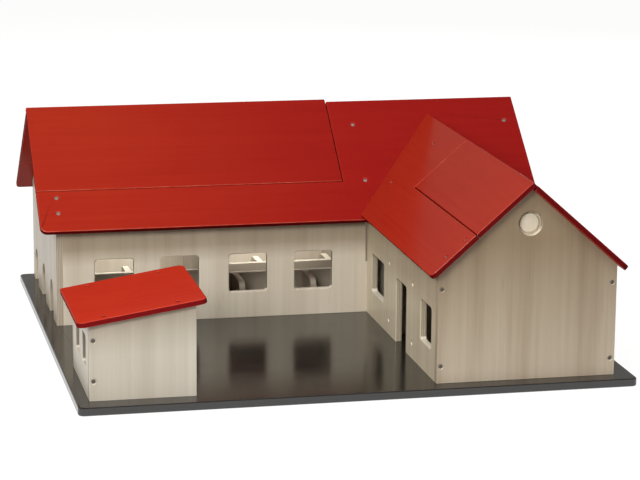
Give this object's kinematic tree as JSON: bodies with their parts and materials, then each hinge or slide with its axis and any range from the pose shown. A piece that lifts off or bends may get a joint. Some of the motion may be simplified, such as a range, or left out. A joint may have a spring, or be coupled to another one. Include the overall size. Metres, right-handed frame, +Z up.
{
  "type": "toy barn",
  "caption": "L-shaped wooden toy barn on a base board, with a wing, an open lean-to shed, window openings, stalls inside and two roof flaps that lift up.",
  "frame": {"origin": "middle of the box round the whole barn, on the underside of the base board", "axes": "+X along the long barn's ridge towards the wing's side, +Y from the yard to the long barn's back, +Z up"},
  "size_m": [0.803, 0.8047, 0.3234],
  "materials": {
    "birch_ply": "clear satin over upright grain",
    "red_lacquer": "glossy red coat, rounded edges",
    "base_laminate": "dark charcoal, polished",
    "zinc_steel": "zinc plated",
    "hinge_brass": "brass plated"
  },
  "bodies": {
    "barn": {"base_board": "base_laminate", "gable_wall_left": "birch_ply", "gable_wall_right": "birch_ply", "barn_front_wall": "birch_ply", "barn_back_wall": "birch_ply", "barn_partition": "birch_ply", "stall_centre_board": "birch_ply", "passage_board_front": "birch_ply", "passage_board_rear": "birch_ply", "stall_dividers_front": "birch_ply", "stall_dividers_rear": "birch_ply", "barn_roof_front": "red_lacquer", "barn_roof_back": "red_lacquer", "barn_roof_back_low": "red_lacquer", "barn_flap_rest": "birch_ply", "wing_left_wall": "birch_ply", "wing_right_wall": "birch_ply", "wing_gable_wall": "birch_ply", "round_window_back": "birch_ply", "wing_partition_rear": "birch_ply", "wing_partition_front": "birch_ply", "wing_roof_left": "red_lacquer", "wing_roof_right": "red_lacquer", "wing_flap_rest": "birch_ply", "barn_hinge_fixed_leaves": "hinge_brass", "barn_hinge_pins": "zinc_steel", "barn_hinge_fixed_screws": "hinge_brass", "wing_hinge_fixed_leaves": "hinge_brass", "wing_hinge_pins": "zinc_steel", "wing_hinge_fixed_screws": "hinge_brass", "shed_front_wall": "birch_ply", "shed_back_wall": "birch_ply", "shed_left_wall": "birch_ply", "shed_roof": "red_lacquer", "barn_roof_screws": "zinc_steel", "wing_roof_screws": "zinc_steel", "wing_wall_screws": "zinc_steel", "gable_screws": "zinc_steel", "shed_screws": "zinc_steel", "base_screws": "zinc_steel"},
    "barn_flap": {"barn_roof_flap": "red_lacquer", "barn_hinge_flap_leaves": "hinge_brass", "barn_hinge_flap_screws": "hinge_brass"},
    "wing_flap": {"wing_roof_flap": "red_lacquer", "wing_hinge_flap_leaves": "hinge_brass", "wing_hinge_flap_screws": "hinge_brass"}
  },
  "joints": [
    {"name": "barn_flap_hinge", "type": "hinge", "parent": "barn", "child": "barn_flap", "pos_m": [-0.1615, 0.22132, 0.3146], "axis": [-1, 0, 0], "range_deg": [0, 140]},
    {"name": "wing_flap_hinge", "type": "hinge", "parent": "barn", "child": "wing_flap", "pos_m": [0.24852, -0.21955, 0.29348], "axis": [0, 1, 0], "range_deg": [0, 140]}
  ]
}
